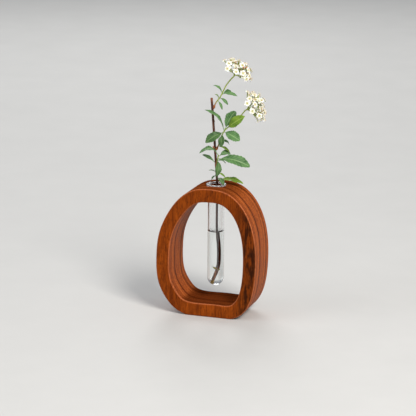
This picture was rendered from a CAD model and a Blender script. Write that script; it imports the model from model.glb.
"""Looks of the test tube vase: leaves, florets, water, materials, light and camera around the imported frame.

Lengths are in metres, and most sizes are written as so many mm.
"""
import math
import random

import bmesh
import bpy
import numpy as np
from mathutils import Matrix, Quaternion, Vector
from mathutils.bvhtree import BVHTree


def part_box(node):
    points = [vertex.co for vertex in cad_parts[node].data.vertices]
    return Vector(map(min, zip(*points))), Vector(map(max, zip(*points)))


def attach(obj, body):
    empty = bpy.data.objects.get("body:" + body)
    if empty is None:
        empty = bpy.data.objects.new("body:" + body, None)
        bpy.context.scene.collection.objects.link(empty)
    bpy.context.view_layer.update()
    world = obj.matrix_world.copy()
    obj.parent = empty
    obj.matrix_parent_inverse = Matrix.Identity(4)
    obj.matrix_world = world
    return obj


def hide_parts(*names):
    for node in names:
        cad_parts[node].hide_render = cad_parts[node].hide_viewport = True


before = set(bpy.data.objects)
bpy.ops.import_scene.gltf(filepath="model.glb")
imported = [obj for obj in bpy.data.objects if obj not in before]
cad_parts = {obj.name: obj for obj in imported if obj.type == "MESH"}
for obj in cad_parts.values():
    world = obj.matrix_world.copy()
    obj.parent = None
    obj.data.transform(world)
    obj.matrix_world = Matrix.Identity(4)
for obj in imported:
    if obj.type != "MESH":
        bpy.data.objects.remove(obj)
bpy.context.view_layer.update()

mm = 0.001
full_turn = 2 * math.pi

# The camera, as fitted to the ring's outline in the photograph.
camera_place = Vector((0.4142, -1.2487, 0.4152))
camera_aim = Vector((-0.0056, 0.0060, 0.07485))
camera_roll = math.radians(0.38)
camera_lens = 164.42
camera_sensor = 36.0
camera_clip_end = 50.0

# Studio: the place, size, power and tint of each light, and what they all point at.
lights = {
    "key": ((0.95, -0.85, 1.15), 0.55, 26.0, (1.0, 0.97, 0.93)),
    "fill": ((-1.2, -0.9, 0.7), 1.0, 7.0, (0.94, 0.97, 1.0)),
    "back": ((-0.5, 1.2, 1.0), 0.8, 8.0, (1.0, 1.0, 1.0)),
}
light_aim = Vector((0, 0, 0.08))
sky_tint = (0.92, 0.95, 1.0, 1.0)
sky_strength = 0.42
floor_half = 4.0
floor_drop = 0.05 * mm

# Nodes of the sprig that share a treatment.
stem_nodes = ["woody_stem", "lower_shoot", "side_shoot", "upper_shoot"]
leaf_nodes = sorted(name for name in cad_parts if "_leaf_" in name)
fresh_leaves = ["middle_leaf_3", "lower_leaf_4", "lower_leaf_7", "lower_leaf_11", "upper_leaf_6"]
dark_leaves = ["middle_leaf_6", "lower_leaf_5", "lower_leaf_8", "middle_leaf_1"]
blunt_leaves = ["middle_leaf_1", "middle_leaf_2", "middle_leaf_4", "lower_leaf_3", "lower_leaf_12"]
# Closed and dried buds of each flower head.
head_buds = {"upper": (8, 9), "side": (7, 5)}

# Corners round tubes, by how thick they are.
round_sides = 8
thin_sides = 6
hair_sides = 4

# Leaf shape.
blade_rows = 54
blade_columns = 10
blade_start_share = 0.10
blade_swell = 1.06
blade_fullness = 0.80
blunt_swell = 1.24
blunt_fullness = 0.64
blade_thickness = 0.22 * mm
blade_fold_share = 0.22
blade_fold_range = (0.6, 1.4)
blade_ripple_share = 0.10
blade_ripples = 2.5
blade_twist_degrees = 22
blade_twist_from_share = 0.3
edge_thinning_share = 0.9
tooth_count = 9
tooth_share = 0.13
toothed_from_share = 0.28
midrib_reach_share = 0.88
midrib_steps = 14
midrib_taper = 0.6
petiole_radius = 0.34 * mm
midrib_end_radius = 0.07 * mm
leaf_end_slice = 0.3 * mm

# Floret shape.
petal_count = 5
petal_radius = 2.35 * mm
petal_half_width = 1.02 * mm
petal_half_shares = [0.28, 0.50, 0.80, 0.98, 1.00, 0.86, 0.52, 0.12]
petal_columns = 4
petal_thickness = 0.10 * mm
petal_foot_share = 0.16
petal_fold_share = 0.28
petal_cup_share = 0.55
petal_cup_lift_share = 0.42
petal_end_share = 0.90
petal_open_share = 0.10
petal_end_lift_share = 0.45
petal_level_openness = 0.55
petal_openness_jitter = 0.1
openness_range = (0.15, 0.75)
heart_radius = 0.52 * mm
heart_sunk_share = 0.8
heart_height_share = 1.6
inner_depth_share = 0.88
inner_size_share = 0.86
floret_lean = math.radians(34)
stamen_count = 9
stamen_length = 1.35 * mm
stamen_length_range = (0.8, 1.1)
stamen_lean_range = (0.35, 0.9)
stamen_jitter = 0.3
stamen_foot_share = 0.6
stamen_bow = 0.05 * mm
stamen_radius = 0.05 * mm
anther_radius = 0.15 * mm

# Buds: shares of the radius from foot to point, then sizes (mm) and places of those between the florets.
bud_shares = [0.30, 0.72, 0.97, 1.0, 0.86, 0.60, 0.30, 0.05]
bud_length_range = (1.3, 2.1)
bud_radius_range = (0.45, 0.75)
bud_reach_range = (0.76, 0.94)
bud_swing = 0.22
bud_stalk_sunk = 0.2 * mm
# Buds on the woody stem: the height in mm, the direction, and the length and radius in mm.
dry_buds = [
    (120.5, (-0.7, -0.3, 0.8), 2.6, 0.80),
    (107.0, (0.6, -0.6, 0.7), 2.2, 0.75),
    (139.5, (0.6, 0.2, 0.8), 1.8, 0.65),
]
green_buds = [
    (31.5, (-0.75, -0.35, 0.65), 3.0, 0.75),
    (30.6, (0.8, -0.3, 0.6), 2.4, 0.65),
]
# Swollen feet of the shoots: between which heights over the foot they point, and their size.
collar_low = 0.8 * mm
collar_high = 3.4 * mm
collar_sunk = 1.2 * mm
collar_length = 4.2 * mm
collar_radius = 0.95 * mm

# Flower stalks.
branch_count = 6
branch_steps = 6
branch_share = 0.46
branch_knee_share = 0.5
branch_radius = 0.36 * mm
branch_taper_share = 0.25
pedicel_radius = 0.21 * mm
pedicel_knee_share = 0.45
pedicel_swell_share = 0.5
pedicel_end_gap = 0.3 * mm
hub_rise = 0.5 * mm
hub_radii = [0.46 * mm, 0.50 * mm, 0.46 * mm, 0.2 * mm]
shoot_tip_slice = 0.25 * mm

# Water: its height and its rings, which are steps round the bottom, mm under the edge along the wall,
# and shares of the radius over the surface.
water_height = 61.0 * mm
water_overlap = 0.03 * mm
water_sides = 64
water_round_steps = 15
water_wall_below = [20.0, 5.0, 2.0, 1.0, 0.5, 0.25, 0.1, 0.0]
water_surface_shares = [0.99, 0.97, 0.94, 0.90, 0.84, 0.76, 0.66, 0.45, 0.15]
tube_radius = 6.0 * mm
tube_bore_radius = 5.1 * mm
meniscus_rise = 1.0 * mm
meniscus_from_share = 0.6

# Kinds of noise (detail and roughness), and the span of values that most of a noise lies in.
soft_noise = (2.0, 0.5)
grain_noise = (3.0, 0.6)
fine_noise = (4.0, 0.6)
line_detail = 2.0
usual_span = (0.3, 0.7)

# Leaf colours: deep, fresh and vein.
leaf_looks = {
    "leaf_mid_green": ((54, 92, 48), (96, 136, 80), (142, 172, 116)),
    "leaf_fresh_green": ((82, 118, 20), (124, 154, 42), (160, 182, 88)),
    "leaf_dark_green": ((44, 76, 38), (80, 114, 62), (120, 148, 92)),
}
# Small grainy surfaces: low and high colour, grains to the mm, and roughness.
grainy_looks = {
    "bud_brown": ((104, 54, 26), (172, 104, 56), 0.9, 0.6),
    "bud_green": ((122, 124, 40), (190, 176, 84), 0.9, 0.6),
    "heart_green": ((176, 174, 74), (222, 214, 128), 2.2, 0.6),
    "filament_cream": ((226, 222, 190), (246, 244, 226), 1.5, 0.6),
    "anther_tan": ((196, 150, 84), (236, 204, 140), 2.5, 0.7),
    "bud_cream": ((206, 206, 150), (246, 238, 214), 0.8, 0.6),
    "bud_dried": ((150, 84, 46), (214, 150, 102), 0.8, 0.7),
}
# Height over a shoot's foot, in mm, about which its brown gives way to green.
shoot_brown_height = 5.0


def srgb(red, green, blue):
    """A colour as seen on a screen, 0 to 255, turned into the linear values that shaders take."""
    values = []
    for part in (red, green, blue):
        share = part / 255
        values.append(share / 12.92 if share < 0.04045 else ((share + 0.055) / 1.055) ** 2.4)
    return (*values, 1.0)


def even(value):
    """The same value along all three axes."""
    return value, value, value


def unit(vector):
    return vector / np.linalg.norm(vector)


def across_of(along):
    """Any direction at right angles to the given one."""
    nearly_upright = 0.9
    helper = np.array((0.0, 0.0, 1.0)) if abs(along[2]) < nearly_upright else np.array((1.0, 0.0, 0.0))
    return unit(np.cross(along, helper))


def bend(start, control, end, share):
    """A point on the smooth bend from start to end that is drawn towards control."""
    rest = 1 - share
    return start * rest * rest + control * 2 * rest * share + end * share * share


def bend_heading(start, control, end, share):
    return unit((control - start) * (1 - share) + (end - control) * share)


def turned(vector, axis, angle):
    return np.array(Quaternion(Vector(axis), angle) @ Vector(vector))


class Paint:
    """One procedural material: short calls add its nodes and link them."""

    def __init__(self, name, constants):
        self.material = bpy.data.materials.new(name)
        self.material.use_nodes = True
        self.tree = self.material.node_tree
        self.shader = self.tree.nodes["Principled BSDF"]
        for socket, value in constants.items():
            self.shader.inputs[socket].default_value = value

    def feed(self, socket, value):
        """Links an output to the socket, or sets a plain value on it."""
        if isinstance(value, bpy.types.NodeSocket):
            self.tree.links.new(value, socket)
        else:
            socket.default_value = value

    def surface(self, name, value):
        """Feeds one of the shader's own inputs."""
        self.feed(self.shader.inputs[name], value)

    def add(self, kind, settings, inputs):
        node = self.tree.nodes.new(kind)
        for key, value in settings.items():
            setattr(node, key, value)
        for key, value in inputs.items():
            self.feed(node.inputs[key], value)
        return node

    def place(self, per_mm):
        """Object coordinates, with so many units to the mm along each axis."""
        where = self.add("ShaderNodeTexCoord", {}, {}).outputs["Object"]
        scale = [share / mm for share in per_mm]
        return self.add("ShaderNodeVectorMath", {"operation": "MULTIPLY"}, {0: where, 1: scale}).outputs[0]

    def axes(self, vector):
        return self.add("ShaderNodeSeparateXYZ", {}, {0: vector}).outputs

    def millimetres(self):
        """Object coordinates in mm, axis by axis."""
        return self.axes(self.place(even(1)))

    def normal_axes(self):
        return self.axes(self.add("ShaderNodeTexCoord", {}, {}).outputs["Normal"])

    def flat(self):
        """The piece's own surface coordinates: along it, and across it from 0 to 1."""
        return self.axes(self.add("ShaderNodeTexCoord", {}, {}).outputs["UV"])

    def math(self, operation, first, second):
        return self.add("ShaderNodeMath", {"operation": operation}, {0: first, 1: second}).outputs[0]

    def times(self, first, second):
        return self.math("MULTIPLY", first, second)

    def unsigned(self, value):
        return self.math("ABSOLUTE", value, 0.0)

    def blend(self, share, first, second):
        """A plain value that goes from first to second as the share goes from 0 to 1."""
        return self.math("ADD", self.times(first, 1 - share), self.times(second, share))

    def noise(self, per_mm, detail, rough):
        inputs = {"Vector": self.place(per_mm), "Scale": 1.0, "Detail": detail, "Roughness": rough}
        return self.add("ShaderNodeTexNoise", {}, inputs).outputs[0]

    def line_noise(self, along, per_unit):
        inputs = {"W": self.times(along, per_unit), "Scale": 1.0, "Detail": line_detail}
        return self.add("ShaderNodeTexNoise", {"noise_dimensions": "1D"}, inputs).outputs[0]

    def cells(self, per_mm):
        """Distance from the middle of the nearest of many scattered cells."""
        inputs = {"Vector": self.place(per_mm), "Scale": 1.0}
        return self.add("ShaderNodeTexVoronoi", {}, inputs).outputs["Distance"]

    def ease(self, value, low, high, at_low, at_high):
        """Goes smoothly from at_low to at_high while the value goes from low to high."""
        inputs = {"Value": value, "From Min": low, "From Max": high, "To Min": at_low, "To Max": at_high}
        return self.add("ShaderNodeMapRange", {"interpolation_type": "SMOOTHSTEP"}, inputs).outputs[0]

    def ramp(self, value, stops):
        node = self.add("ShaderNodeValToRGB", {}, {0: value})
        marks = node.color_ramp.elements
        while len(marks) < len(stops):
            marks.new(1.0)
        for mark, (place, colour) in zip(marks, stops):
            mark.position = place
            mark.color = colour
        return node.outputs[0]

    def mix(self, share, first, second, blend="MIX"):
        settings = {"data_type": "RGBA", "blend_type": blend}
        return self.add("ShaderNodeMix", settings, {0: share, 6: first, 7: second}).outputs[2]

    def bump(self, height, depth, strength):
        node = self.add("ShaderNodeBump", {}, {"Strength": strength, "Distance": depth, "Height": height})
        self.surface("Normal", node.outputs[0])

    def coat(self, colour, roughness):
        self.surface("Base Color", colour)
        self.surface("Roughness", roughness)


# In the materials below, a mask or a fade is the last four values of Paint.ease, and a pair that ends in
# rough is the roughness at the two ends of usual_span.
def wood_rim(paint, y, on_end):
    """Growth layers seen on edge: broad bands and finer streaks across the depth, darker where level."""
    stops = [
        (0.39, srgb(66, 28, 10)),
        (0.45, srgb(140, 68, 28)),
        (0.51, srgb(206, 112, 54)),
        (0.58, srgb(124, 56, 22)),
        (0.63, srgb(188, 98, 46)),
    ]
    deep = srgb(80, 34, 10)
    figure_per_mm = (0.034, 0.060, 0.010)
    sway = 8.0
    bands_per_mm = 0.42
    streaks_per_mm = 1.2
    band_share = 0.58
    figure = paint.noise(figure_per_mm, *soft_noise)
    layer = paint.math("ADD", y, paint.times(figure, sway))
    bands = paint.line_noise(layer, bands_per_mm)
    streaks = paint.line_noise(layer, streaks_per_mm)
    stripe = paint.blend(band_share, streaks, bands)
    return paint.mix(on_end, paint.ramp(stripe, stops), deep)


def wood_face(paint, x):
    """The flat faces: mottled and clouded, with a dark heart towards the right-hand edge."""
    stops = [(0.30, srgb(98, 40, 8)), (0.46, srgb(136, 62, 12)), (0.68, srgb(166, 80, 18))]
    heart = srgb(44, 18, 6)
    blotch_per_mm = (0.30, 0.30, 0.075)
    blotch_noise = (4.0, 0.65)
    cloud_per_mm = (0.05, 0.05, 0.018)
    cloud_share = 0.4
    heart_span = (17.0, 31.0)
    heart_mask = (0.36, 0.60, 0.15, 0.95)
    mottle = paint.noise(blotch_per_mm, *blotch_noise)
    cloud = paint.noise(cloud_per_mm, *soft_noise)
    face = paint.ramp(paint.blend(cloud_share, mottle, cloud), stops)
    dark = paint.times(paint.ease(x, *heart_span, 0.0, 1.0), paint.ease(mottle, *heart_mask))
    return paint.mix(dark, face, heart)


def wood_grain(paint, colour):
    """Adds fine fibres and short dark pores to the colour, and gives the surface its relief."""
    fibre_per_mm = (1.3, 1.3, 0.09)
    fibre_stops = [(0.30, srgb(188, 176, 168)), (0.62, srgb(255, 252, 248))]
    fibre_rough = (0.44, 0.60)
    fibre_relief_share = 0.4
    pore = srgb(54, 22, 6)
    pore_per_mm = (2.2, 2.2, 0.34)
    pore_mask = (0.55, 0.68, 0.0, 0.65)
    relief_depth = 0.10 * mm
    relief_strength = 0.35
    fibre = paint.noise(fibre_per_mm, *fine_noise)
    colour = paint.mix(1.0, colour, paint.ramp(fibre, fibre_stops), "MULTIPLY")
    pores = paint.ease(paint.noise(pore_per_mm, *soft_noise), *pore_mask)
    colour = paint.mix(pores, colour, pore)
    paint.coat(colour, paint.ease(fibre, *usual_span, *fibre_rough))
    relief = paint.math("SUBTRACT", paint.times(fibre, fibre_relief_share), pores)
    paint.bump(relief, relief_depth, relief_strength)


def ring_wood():
    """Oiled reddish wood: striped rim, mottled faces and pale worn edges, matt where it lies level."""
    worn = srgb(206, 124, 82)
    face_mask = (0.55, 0.95, 0.0, 1.0)
    edge_mask = (0.10, 0.45, 0.0, 0.55)
    edge_fade = (0.96, 0.70, 0.0, 1.0)
    end_mask = (0.70, 0.98, 0.0, 0.78)
    crown_fade = (20.0, 80.0, 1.0, 0.65)
    sheen_fade = (0.30, 0.90, 0.045, 0.0)
    paint = Paint("ring_wood_oiled", {})
    x, y, z = paint.millimetres()
    facing = paint.unsigned(paint.normal_axes()[1])
    level = paint.unsigned(paint.normal_axes()[2])
    on_edge = paint.times(paint.ease(facing, *edge_mask), paint.ease(facing, *edge_fade))
    on_end = paint.times(paint.ease(level, *end_mask), paint.ease(z, *crown_fade))
    paint.surface("Specular IOR Level", paint.ease(level, *sheen_fade))
    colour = paint.mix(paint.ease(facing, *face_mask), wood_rim(paint, y, on_end), wood_face(paint, x))
    wood_grain(paint, paint.mix(on_edge, colour, worn))
    return paint.material


def tube_glass():
    """Clear glass with faint finger marks and a rougher, slightly milky, fire-rounded lip."""
    constants = {"Base Color": srgb(253, 254, 254), "Transmission Weight": 1.0, "IOR": 1.47}
    marks_per_mm = (0.12, 0.12, 0.06)
    smear_mask = (0.52, 0.80, 0.0, 0.07)
    lip_start = 1.5
    lip_full = 1.1
    lip_rough = 0.22
    lip_milk = 0.22
    paint = Paint("tube_glass_clear", constants)
    smears = paint.ease(paint.noise(marks_per_mm, *grain_noise), *smear_mask)
    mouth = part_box("test_tube")[1].z / mm
    height = paint.millimetres()[2]
    lip = paint.ease(height, mouth - lip_start, mouth - lip_full, 0.0, 1.0)
    paint.surface("Roughness", paint.math("MAXIMUM", smears, paint.times(lip, lip_rough)))
    paint.surface("Transmission Weight", paint.math("SUBTRACT", 1.0, paint.times(lip, lip_milk)))
    return paint.material


def clear_water():
    constants = {"Base Color": srgb(253, 255, 254), "Transmission Weight": 1.0, "IOR": 1.333}
    ripples_per_mm = even(0.20)
    ripple_mask = (0.55, 0.85, 0.0, 0.03)
    paint = Paint("clear_water", constants)
    paint.surface("Roughness", paint.ease(paint.noise(ripples_per_mm, *soft_noise), *ripple_mask))
    return paint.material


def stem_bark():
    """Dark red-brown bark with long ridges and pale specks, darker in the water and paler at the cut ends."""
    pale = srgb(112, 72, 48)
    bark_stops = [(0.30, srgb(48, 26, 18)), (0.52, srgb(76, 38, 25)), (0.78, pale)]
    ridges_per_mm = (1.1, 1.1, 0.14)
    ridge_rough = (0.75, 0.55)
    specks_per_mm = (0.7, 0.7, 1.1)
    speck_mask = (0.24, 0.10, 0.0, 0.7)
    relief_depth = 0.25 * mm
    relief_strength = 0.6
    low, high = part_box("woody_stem")
    top = high.z / mm
    foot = low.z / mm
    level = water_height / mm
    # Tints along the stem: the heights in mm where each starts and is full, its share, and its colour.
    tints = [
        (top - 3.4, top - 1.2, 0.85, srgb(136, 78, 48)),
        (level + 1.0, level - 1.0, 0.75, srgb(50, 18, 10)),
        (foot + 13.0, foot + 8.0, 0.70, srgb(150, 84, 34)),
        (foot + 2.6, foot + 0.9, 0.90, srgb(206, 178, 108)),
    ]
    paint = Paint("stem_bark_brown", {"Specular IOR Level": 0.30})
    ridges = paint.noise(ridges_per_mm, *grain_noise)
    colour = paint.ramp(ridges, bark_stops)
    colour = paint.mix(paint.ease(paint.cells(specks_per_mm), *speck_mask), colour, pale)
    height = paint.millimetres()[2]
    for start, full, share, tint in tints:
        colour = paint.mix(paint.ease(height, start, full, 0.0, share), colour, tint)
    paint.coat(colour, paint.ease(ridges, *usual_span, *ridge_rough))
    paint.bump(ridges, relief_depth, relief_strength)
    return paint.material


def green_shoot(name, brown_below):
    """Young shoots: yellow-green with fine lengthwise lines, and red-brown near the foot."""
    stops = [(0.30, srgb(104, 124, 44)), (0.52, srgb(146, 160, 70)), (0.75, srgb(176, 184, 100))]
    blush = srgb(150, 92, 46)
    brown = srgb(140, 78, 42)
    lines_per_mm = (1.6, 1.6, 0.22)
    line_rough = (0.62, 0.45)
    blush_per_mm = even(0.12)
    blush_mask = (0.56, 0.74, 0.0, 0.5)
    brown_full_below = 3.0
    brown_gone_above = 2.0
    brown_mask = (brown_below - brown_full_below, brown_below + brown_gone_above, 0.9, 0.0)
    relief_depth = 0.12 * mm
    relief_strength = 0.4
    paint = Paint(name, {"Specular IOR Level": 0.35})
    lines = paint.noise(lines_per_mm, *grain_noise)
    colour = paint.ramp(lines, stops)
    colour = paint.mix(paint.ease(paint.noise(blush_per_mm, *soft_noise), *blush_mask), colour, blush)
    colour = paint.mix(paint.ease(paint.millimetres()[2], *brown_mask), colour, brown)
    paint.coat(colour, paint.ease(lines, *usual_span, *line_rough))
    paint.bump(lines, relief_depth, relief_strength)
    return paint.material


def leaf_green(name):
    """A leaf with a pale midrib, side veins and edge, and a soft grey sheen."""
    deep, fresh, vein = [srgb(*colour) for colour in leaf_looks[name]]
    spots_per_mm = even(0.22)
    spot_rough = (0.40, 0.56)
    spot_relief_share = 0.3
    vein_pairs = 9.0
    vein_slant = 1.5
    vein_mask = (0.40, 0.49, 0.0, 0.45)
    midrib_mask = (0.13, 0.03, 0.0, 0.75)
    edge_mask = (0.90, 1.0, 0.0, 0.45)
    relief_depth = 0.18 * mm
    relief_strength = 0.5
    paint = Paint(name, {"Specular IOR Level": 0.28, "Sheen Weight": 0.05, "Sheen Roughness": 0.45})
    along, share, _ = paint.flat()
    off_middle = paint.unsigned(paint.math("SUBTRACT", paint.times(share, 2.0), 1.0))
    spots = paint.noise(spots_per_mm, *fine_noise)
    colour = paint.ramp(spots, [(0.34, deep), (0.66, fresh)])
    slant = paint.math("SUBTRACT", paint.times(along, vein_pairs), paint.times(off_middle, vein_slant))
    beat = paint.unsigned(paint.math("SUBTRACT", paint.math("FRACT", slant, 0.0), 0.5))
    veins = paint.math("MAXIMUM", paint.ease(beat, *vein_mask), paint.ease(off_middle, *midrib_mask))
    pale = paint.math("MAXIMUM", veins, paint.ease(off_middle, *edge_mask))
    paint.coat(paint.mix(pale, colour, vein), paint.ease(spots, *usual_span, *spot_rough))
    relief = paint.math("SUBTRACT", paint.times(spots, spot_relief_share), veins)
    paint.bump(relief, relief_depth, relief_strength)
    return paint.material


def petal_white():
    """White petals, greenish cream at the foot, with faint lengthwise lines."""
    constants = {"Subsurface Weight": 0.12, "Subsurface Scale": 0.6 * mm, "Sheen Weight": 0.1}
    stops = [(0.0, srgb(214, 214, 150)), (0.30, srgb(244, 240, 222)), (0.8, srgb(252, 250, 244))]
    cream = srgb(246, 226, 190)
    cream_per_mm = even(0.16)
    cream_mask = (0.56, 0.74, 0.0, 0.55)
    line = srgb(206, 202, 180)
    lines_across = 14.0
    line_mask = (0.55, 0.75, 0.0, 0.18)
    line_rough = (0.50, 0.62)
    relief_depth = 0.06 * mm
    relief_strength = 0.4
    paint = Paint("petal_white", constants)
    along, share, _ = paint.flat()
    lines = paint.line_noise(share, lines_across)
    colour = paint.ramp(along, stops)
    colour = paint.mix(paint.ease(paint.noise(cream_per_mm, *soft_noise), *cream_mask), colour, cream)
    colour = paint.mix(paint.ease(lines, *line_mask), colour, line)
    paint.coat(colour, paint.ease(lines, *usual_span, *line_rough))
    paint.bump(lines, relief_depth, relief_strength)
    return paint.material


def grainy(name):
    """A small grainy surface that runs between two colours, for buds, hearts and stamens."""
    low, high, per_mm, rough = grainy_looks[name]
    smoother = 0.15
    relief_depth = 0.10 * mm
    relief_strength = 0.5
    paint = Paint(name, {"Specular IOR Level": 0.35})
    grain = paint.noise(even(per_mm), *grain_noise)
    colour = paint.ramp(grain, [(0.32, srgb(*low)), (0.68, srgb(*high))])
    paint.coat(colour, paint.ease(grain, *usual_span, rough, rough - smoother))
    paint.bump(grain, relief_depth, relief_strength)
    return paint.material


def pale_floor():
    stops = [(0.2, srgb(200, 199, 196)), (0.8, srgb(206, 205, 202))]
    grain_per_mm = even(0.02)
    grain_mask = (0.2, 0.8, 0.6, 0.7)
    paint = Paint("pale_floor", {"Specular IOR Level": 0.25})
    grain = paint.noise(grain_per_mm, *fine_noise)
    paint.coat(paint.ramp(grain, stops), paint.ease(grain, *grain_mask))
    return paint.material


class Shape:
    """Points, faces and surface coordinates of one piece, gathered from nets and tubes."""

    def __init__(self):
        self.points = []
        self.faces = []
        self.flat = []

    def loops(self, rings, flat_rings):
        """Adds a closed skin over rings of points, with a face over the first and last ring."""
        first = len(self.points)
        count = len(rings[0])
        for ring, flat_ring in zip(rings, flat_rings):
            self.points.extend(ring)
            self.flat.extend(flat_ring)
        for i in range(len(rings) - 1):
            low = first + i * count
            for j in range(count):
                k = (j + 1) % count
                self.faces.append((low + j, low + k, low + count + k, low + count + j))
        last = first + (len(rings) - 1) * count
        self.faces.append(tuple(range(first + count - 1, first - 1, -1)))
        self.faces.append(tuple(range(last, last + count)))

    def tube(self, path, radii, sides):
        """Adds a round tube along a path, with its own radius at each point."""
        headings = np.gradient(np.array(path), axis=0)
        turns = [full_turn * j / sides for j in range(sides)]
        side = across_of(unit(headings[0]))
        rings = []
        flat_rings = []
        for number, (point, heading, radius) in enumerate(zip(path, headings, radii)):
            along = unit(heading)
            side = unit(side - along * side.dot(along))
            other = np.cross(along, side)
            rings.append([point + radius * (math.cos(t) * side + math.sin(t) * other) for t in turns])
            flat_rings.append([(number / (len(path) - 1), 0.5)] * sides)
        self.loops(rings, flat_rings)

    def shell(self, stations, columns, thickness):
        """Adds a thin closed blade over stations along it.

        A station is its middle, its directions across and up, its half width, fold, ripple and place along.
        """
        shares = [2 * j / columns - 1 for j in range(columns + 1)]
        rings = []
        flat_rings = []
        for middle, across, up, half, fold, ripple, along in stations:
            upper = []
            lower = []
            for t in shares:
                rise = fold * abs(t) + ripple * t * abs(t)
                point = middle + across * half * t + up * half * rise
                upper.append(point)
                lower.append(point - up * thickness * (1 - edge_thinning_share * abs(t)))
            rings.append(lower + upper[::-1])
            flat = [(along, (t + 1) / 2) for t in shares]
            flat_rings.append(flat + flat[::-1])
        self.loops(rings, flat_rings)

    def piece(self, name, material, body, slot):
        mesh = bpy.data.meshes.new(name)
        mesh.from_pydata([tuple(point) for point in self.points], [], self.faces)
        layer = mesh.uv_layers.new(name="along_across")
        for loop in mesh.loops:
            layer.data[loop.index].uv = self.flat[loop.vertex_index]
        mesh.polygons.foreach_set("use_smooth", [True] * len(mesh.polygons))
        mesh.materials.append(material)
        obj = bpy.data.objects.new(name, mesh)
        bpy.context.scene.collection.objects.link(obj)
        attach(obj, body)
        return obj


def node_points(node):
    return np.array([tuple(vertex.co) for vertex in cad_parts[node].data.vertices])


def node_tree(node):
    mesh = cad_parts[node].data
    return BVHTree.FromPolygons([v.co for v in mesh.vertices], [tuple(p.vertices) for p in mesh.polygons])


stem_trees = [node_tree(name) for name in stem_nodes]


def stem_distance(point):
    return min(tree.find_nearest(Vector(point))[3] for tree in stem_trees)


def stem_middle(node, height):
    """The middle of a stem where a level plane cuts it at the given height."""
    cut = bmesh.new()
    cut.from_mesh(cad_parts[node].data)
    everything = cut.verts[:] + cut.edges[:] + cut.faces[:]
    made = bmesh.ops.bisect_plane(cut, geom=everything, plane_co=(0, 0, height), plane_no=(0, 0, 1))
    points = [tuple(item.co) for item in made["geom_cut"] if isinstance(item, bmesh.types.BMVert)]
    cut.free()
    return np.array(points).mean(axis=0)


def leaf_lie(node):
    """Root, tip, upper side, arch and width of a leaf, read from its CAD blade."""
    points = node_points(node)
    middle = points.mean(axis=0)
    reach = (points - middle) @ np.linalg.svd(points - middle, full_matrices=False)[2][0]
    one_end = points[reach < reach.min() + leaf_end_slice].mean(axis=0)
    other_end = points[reach > reach.max() - leaf_end_slice].mean(axis=0)
    root, tip = sorted([one_end, other_end], key=stem_distance)
    along = unit(tip - root)
    spread = np.zeros((3, 3))
    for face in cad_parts[node].data.polygons:
        spread += face.area * np.outer(face.normal, face.normal)
    up = np.linalg.eigh(spread)[1][:, 2]
    up = unit(up - along * up.dot(along))
    rise = (points - root) @ up
    if rise.max() < -rise.min():
        up = -up
    arch = max(rise.max(), -rise.min())
    width = np.ptp(points @ np.cross(up, along))
    return root, tip, up, arch, width


def blade_half(share, width, swell, fullness):
    """Half the width of a leaf at a share of its length, with saw teeth towards the tip."""
    half = width / 2 * math.sin(math.pi * share ** swell) ** fullness if 0 < share < 1 else 0
    if toothed_from_share < share < 1:
        half *= 1 + tooth_share * (share * tooth_count % 1.0 - 0.5)
    return max(half, midrib_end_radius)


def midrib(shape, root, control, tip, up):
    """The petiole, which runs on under the blade as a thinning midrib."""
    reaches = [midrib_reach_share * step / midrib_steps for step in range(midrib_steps + 1)]
    path = []
    radii = []
    for reach in reaches:
        sunk = blade_thickness * min(1, reach / blade_start_share)
        path.append(bend(root, control, tip, reach) - up * sunk)
        thinning = (reach / midrib_reach_share) ** midrib_taper
        radii.append(petiole_radius + (midrib_end_radius - petiole_radius) * thinning)
    shape.tube(path, radii, thin_sides)


def leaf(node, material, chance):
    """A toothed, folded and rippled blade on its petiole, lying along the CAD leaf."""
    root, tip, up, arch, width = leaf_lie(node)
    control = (root + tip) / 2 + up * arch * 2
    across = np.cross(unit(tip - root), up)
    twist = math.radians(chance.uniform(-blade_twist_degrees, blade_twist_degrees))
    phase = chance.uniform(0, full_turn)
    fold = blade_fold_share * chance.uniform(*blade_fold_range)
    outline = (blunt_swell, blunt_fullness) if node in blunt_leaves else (blade_swell, blade_fullness)
    stations = []
    for row in range(blade_rows + 1):
        share = row / blade_rows
        reach = blade_start_share + (1 - blade_start_share) * share
        heading = bend_heading(root, control, tip, reach)
        side = turned(across, heading, twist * (share - blade_twist_from_share))
        lift = np.cross(side, heading)
        ripple = blade_ripple_share * math.sin(full_turn * blade_ripples * share + phase)
        half = blade_half(share, width, *outline)
        stations.append((bend(root, control, tip, reach), side, lift, half, fold, ripple, share))
    shape = Shape()
    shape.shell(stations, blade_columns, blade_thickness)
    midrib(shape, root, control, tip, up)
    obj = shape.piece("detailed_" + node, material, "sprig", "leaf")
    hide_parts(node)


def connected_points(node):
    """The points of a node, gathered into one array for each of its separate solids."""
    weld_distance = 0.001 * mm
    weld = bmesh.new()
    weld.from_mesh(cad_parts[node].data)
    bmesh.ops.remove_doubles(weld, verts=weld.verts[:], dist=weld_distance)
    waiting = set(weld.verts)
    clusters = []
    while waiting:
        cluster = []
        front = [waiting.pop()]
        while front:
            vertex = front.pop()
            cluster.append(tuple(vertex.co))
            near = {edge.other_vert(vertex) for edge in vertex.link_edges} & waiting
            waiting -= near
            front.extend(near)
        clusters.append(np.array(cluster))
    weld.free()
    return clusters


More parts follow.
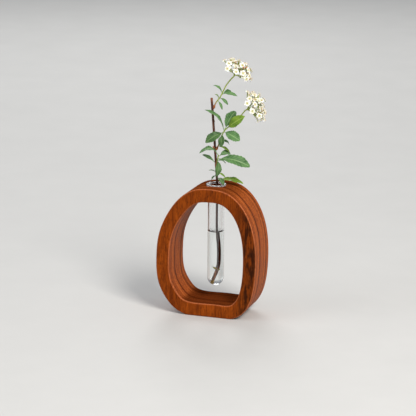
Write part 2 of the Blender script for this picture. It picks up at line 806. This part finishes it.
def floret_places(head):
    """Middle and outward direction of each CAD floret of a head, and the point where their stalks meet."""
    clusters = connected_points(head + "_florets")
    middles = [cluster.mean(axis=0) for cluster in clusters]
    axes = [np.linalg.svd(c - m, full_matrices=False)[2][2] for c, m in zip(clusters, middles)]
    misses = [np.identity(3) - np.outer(axis, axis) for axis in axes]
    hub = np.linalg.solve(sum(misses), sum(miss @ middle for miss, middle in zip(misses, middles)))
    florets = [(m, a if a.dot(m - hub) > 0 else -a) for m, a in zip(middles, axes)]
    florets.sort(key=lambda floret: tuple(floret[0]))
    return florets, hub


def inner_florets(florets, hub):
    """Smaller florets set a little deeper, one between each floret and its nearest neighbour."""
    pairs = set()
    for number, (middle, _) in enumerate(florets):
        gaps = [np.linalg.norm(middle - other) for other, _ in florets]
        gaps[number] = max(gaps)
        pairs.add(tuple(sorted((number, int(np.argmin(gaps))))))
    places = []
    for first, second in sorted(pairs):
        away = (florets[first][0] + florets[second][0]) / 2 - hub
        places.append((hub + away * inner_depth_share, unit(away)))
    return places


def petal(shape, middle, axis, outward, openness, radius):
    """One cupped petal, from the heart outwards."""
    across = np.cross(axis, outward)
    cup_lift = petal_cup_lift_share * (1 - openness)
    end_reach = petal_end_share + petal_open_share * openness
    end_lift = petal_end_lift_share * (petal_level_openness - openness)
    start = middle + outward * radius * petal_foot_share
    control = middle + outward * radius * petal_cup_share + axis * radius * cup_lift
    end = middle + outward * radius * end_reach + axis * radius * end_lift
    stations = []
    last = len(petal_half_shares) - 1
    for row, half_share in enumerate(petal_half_shares):
        share = row / last
        lift = unit(np.cross(bend_heading(start, control, end, share), across))
        half = petal_half_width * half_share * radius / petal_radius
        stations.append((bend(start, control, end, share), across, lift, half, petal_fold_share, 0.0, share))
    shape.shell(stations, petal_columns, petal_thickness)


def bud(shape, base, axis, length, radius):
    """A small tear-shaped bud that swells near its foot and ends in a point."""
    last = len(bud_shares) - 1
    path = [base + axis * length * row / last for row in range(last + 1)]
    shape.tube(path, [radius * share for share in bud_shares], round_sides)


def stamens(filaments, anthers, middle, axis, side, chance):
    """A ring of thin filaments with round tips round the heart of a floret."""
    for number in range(stamen_count):
        turn = full_turn * (number + chance.uniform(-stamen_jitter, stamen_jitter)) / stamen_count
        outward = turned(side, axis, turn)
        lean = unit(axis + outward * chance.uniform(*stamen_lean_range))
        foot = middle + outward * heart_radius * stamen_foot_share
        tip = foot + lean * stamen_length * chance.uniform(*stamen_length_range)
        path = [foot, (foot + tip) / 2 + axis * stamen_bow, tip]
        filaments.tube(path, [stamen_radius] * len(path), hair_sides)
        bud(anthers, tip - lean * anther_radius, lean, anther_radius * 2, anther_radius)


def leaned(axis, chance):
    """The axis of a floret, leaned a little to a random side."""
    side = turned(across_of(axis), axis, chance.uniform(0, full_turn))
    return turned(axis, side, chance.uniform(0, floret_lean))


def floret(parts, middle, axis, chance, size_share):
    """Five petals, a domed heart and stamens."""
    side = turned(across_of(axis), axis, chance.uniform(0, full_turn))
    openness = chance.uniform(*openness_range)
    for number in range(petal_count):
        outward = turned(side, axis, full_turn * number / petal_count)
        spread = openness + chance.uniform(-petal_openness_jitter, petal_openness_jitter)
        petal(parts["petals"], middle, unit(axis), outward, spread, petal_radius * size_share)
    heart_foot = middle - axis * heart_radius * heart_sunk_share
    bud(parts["hearts"], heart_foot, axis, heart_radius * heart_height_share, heart_radius)
    stamens(parts["filaments"], parts["anthers"], middle, axis, side, chance)


def branch_groups(florets):
    """Florets gathered round a few of them that lie far apart."""
    seeds = [florets[0][0]]
    while len(seeds) < branch_count:
        gaps = [min(np.linalg.norm(middle - seed) for seed in seeds) for middle, _ in florets]
        seeds.append(florets[int(np.argmax(gaps))][0])
    groups = [[] for _ in seeds]
    for middle, axis in florets:
        nearest = int(np.argmin([np.linalg.norm(middle - seed) for seed in seeds]))
        groups[nearest].append((middle, axis))
    return groups


def flower_branches(shape, florets, hub, shoot_end):
    """Stalks that fork on their way from the hub to the florets."""
    steps = [step / branch_steps for step in range(branch_steps + 1)]
    branch_radii = [branch_radius * (1 - branch_taper_share * step) for step in steps]
    pedicel_radii = [pedicel_radius * (1 + pedicel_swell_share * step ** 3) for step in steps]
    rise = unit(sum(axis for _, axis in florets))
    shape.tube([shoot_end, (shoot_end + hub) / 2, hub, hub + rise * hub_rise], hub_radii, round_sides)
    for group in branch_groups(florets):
        centre = sum(middle for middle, _ in group) / len(group)
        fork = hub + (centre - hub) * branch_share
        knee = hub + rise * np.linalg.norm(fork - hub) * branch_knee_share
        shape.tube([bend(hub, knee, fork, step) for step in steps], branch_radii, thin_sides)
        heading = bend_heading(hub, knee, fork, 1.0)
        for middle, axis in group:
            end = middle - axis * pedicel_end_gap
            knee_out = fork + heading * np.linalg.norm(end - fork) * pedicel_knee_share
            shape.tube([bend(fork, knee_out, end, step) for step in steps], pedicel_radii, thin_sides)


def shoot_tip(node, hub):
    """The end of a shoot next to a hub."""
    points = node_points(node)
    away = np.linalg.norm(points - hub, axis=1)
    return points[away < away.min() + shoot_tip_slice].mean(axis=0)


def stalked_buds(shape, stalks, florets, hub, chance, count):
    """Buds on short stalks between the open florets."""
    for middle, _ in chance.sample(florets, count):
        away = turned(middle - hub, across_of(unit(middle - hub)), chance.uniform(-bud_swing, bud_swing))
        axis = unit(away)
        base = hub + away * chance.uniform(*bud_reach_range)
        bud(shape, base, axis, chance.uniform(*bud_length_range) * mm, chance.uniform(*bud_radius_range) * mm)
        foot = hub + away * branch_share
        path = [foot, (foot + base) / 2, base + axis * bud_stalk_sunk]
        stalks.tube(path, [pedicel_radius] * len(path), thin_sides)


def flower_head(head, materials):
    """Forked stalks, open florets, and closed and dried buds of one head."""
    chance = random.Random(head)
    florets, hub = floret_places(head)
    deeper = inner_florets(florets, hub)
    parts = {kind: Shape() for kind in ("petals", "hearts", "filaments", "anthers", "closed", "dried")}
    stalks = Shape()
    flower_branches(stalks, florets + deeper, hub, shoot_tip(head + "_shoot", hub))
    for middle, axis in florets:
        floret(parts, middle, leaned(axis, chance), chance, 1.0)
    for middle, axis in deeper:
        floret(parts, middle, leaned(axis, chance), chance, inner_size_share)
    closed_count, dried_count = head_buds[head]
    stalked_buds(parts["closed"], stalks, florets, hub, chance, closed_count)
    stalked_buds(parts["dried"], stalks, florets, hub, chance, dried_count)
    stalk_piece = stalks.piece(head + "_branched_stalks", materials["shoot"], "sprig", "green_shoot")
    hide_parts(head + "_flower_stalks")
    for kind, shape in parts.items():
        obj = shape.piece(head + "_floret_" + kind, materials[kind], "sprig", "petal")
        if kind == "petals":
            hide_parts(head + "_florets")


def water_profile(tube_foot):
    """Radius and height of the water's rings: round bottom, wall, and a surface drawn up at the glass."""
    radius = tube_bore_radius + water_overlap
    round_height = tube_foot + tube_radius
    profile = []
    for step in range(1, water_round_steps + 1):
        angle = full_turn / 4 * step / water_round_steps
        profile.append((radius * math.sin(angle), round_height - radius * math.cos(angle)))
    for below in water_wall_below:
        profile.append((radius, water_height - below * mm))
    for share in water_surface_shares:
        climb = max(share - meniscus_from_share, 0) / (1 - meniscus_from_share)
        profile.append((radius * share, water_height - meniscus_rise * (1 - climb ** 3)))
    return profile


def water(material):
    """The water in the tube."""
    low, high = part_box("test_tube")
    axis = (low + high) / 2
    profile = water_profile(low.z)
    turns = [full_turn * j / water_sides for j in range(water_sides)]
    rings = []
    flat_rings = []
    for number, (radius, height) in enumerate(profile):
        ring = [(axis.x + radius * math.cos(t), axis.y + radius * math.sin(t), height) for t in turns]
        rings.append(ring)
        flat_rings.append([(number / len(profile), j / water_sides) for j in range(water_sides)])
    shape = Shape()
    shape.loops(rings, flat_rings)
    shape.piece("tube_water", material, "tube", "tube_glass")


def stem_buds(name, rows, material):
    """Small buds on the woody stem."""
    shape = Shape()
    for height, axis, length, radius in rows:
        middle = stem_middle("woody_stem", height * mm)
        bud(shape, middle, unit(np.array(axis)), length * mm, radius * mm)
    shape.piece(name, material, "sprig", "stem_bark")


def shoot_collars(material):
    """Swollen feet where the shoots leave the stem."""
    shape = Shape()
    for node in stem_nodes[1:]:
        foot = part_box(node)[0].z
        low = stem_middle(node, foot + collar_low)
        high = stem_middle(node, foot + collar_high)
        along = unit(high - low)
        bud(shape, low - along * collar_sunk, along, collar_length, collar_radius)
    shape.piece("shoot_collars", material, "sprig", "stem_bark")


def floor():
    mesh = bpy.data.meshes.new("floor")
    corners = [(x * floor_half, y * floor_half, 0) for x, y in ((-1, -1), (1, -1), (1, 1), (-1, 1))]
    mesh.from_pydata(corners, [], [(0, 1, 2, 3)])
    mesh.materials.append(pale_floor())
    obj = bpy.data.objects.new("floor", mesh)
    obj.location.z = -floor_drop
    bpy.context.scene.collection.objects.link(obj)


def soft_light(name, place, size, power, tint):
    light = bpy.data.lights.new(name, "AREA")
    light.size = size
    light.energy = power
    light.color = tint
    obj = bpy.data.objects.new(name, light)
    obj.location = place
    aim = light_aim - obj.location
    obj.rotation_euler = aim.to_track_quat("-Z", "Y").to_euler()
    bpy.context.scene.collection.objects.link(obj)


def studio():
    """Soft light: a large key from the upper right, a fill from the left and a weak light from behind."""
    world = bpy.data.worlds.new("studio")
    world.use_nodes = True
    sky = world.node_tree.nodes["Background"]
    sky.inputs["Color"].default_value = sky_tint
    sky.inputs["Strength"].default_value = sky_strength
    bpy.context.scene.world = world
    for name, settings in lights.items():
        soft_light(name, *settings)
    bpy.context.scene.view_settings.view_transform = "Standard"


def photo_camera():
    data = bpy.data.cameras.new("photo_camera")
    data.lens = camera_lens
    data.sensor_width = camera_sensor
    data.sensor_fit = "HORIZONTAL"
    data.clip_end = camera_clip_end
    obj = bpy.data.objects.new("photo_camera", data)
    obj.location = camera_place
    obj.rotation_mode = "QUATERNION"
    look = (camera_aim - camera_place).to_track_quat("-Z", "Y")
    obj.rotation_quaternion = look @ Quaternion((0, 0, 1), camera_roll)
    bpy.context.scene.collection.objects.link(obj)
    bpy.context.scene.camera = obj


def dress(node, material):
    """Gives a CAD node that stays in view its own material."""
    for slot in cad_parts[node].material_slots:
        slot.material = material


def leaves():
    """All leaves, in three greens."""
    chance = random.Random("leaves")
    greens = {name: leaf_green(name) for name in leaf_looks}
    for node in leaf_nodes:
        green = "leaf_mid_green"
        if node in fresh_leaves:
            green = "leaf_fresh_green"
        elif node in dark_leaves:
            green = "leaf_dark_green"
        leaf(node, greens[green], chance)


def flower_heads():
    materials = {
        "shoot": green_shoot("flower_stalk_skin", 0.0),
        "petals": petal_white(),
        "hearts": grainy("heart_green"),
        "filaments": grainy("filament_cream"),
        "anthers": grainy("anther_tan"),
        "closed": grainy("bud_cream"),
        "dried": grainy("bud_dried"),
    }
    for head in head_buds:
        flower_head(head, materials)


photo_camera()
studio()
floor()

dress("wooden_ring", ring_wood())
dress("test_tube", tube_glass())
dress("woody_stem", stem_bark())
for shoot in stem_nodes[1:]:
    dress(shoot, green_shoot(shoot + "_skin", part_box(shoot)[0].z / mm + shoot_brown_height))
water(clear_water())
bud_brown = grainy("bud_brown")
stem_buds("dry_stem_buds", dry_buds, bud_brown)
stem_buds("green_stem_buds", green_buds, grainy("bud_green"))
shoot_collars(bud_brown)
leaves()
flower_heads()
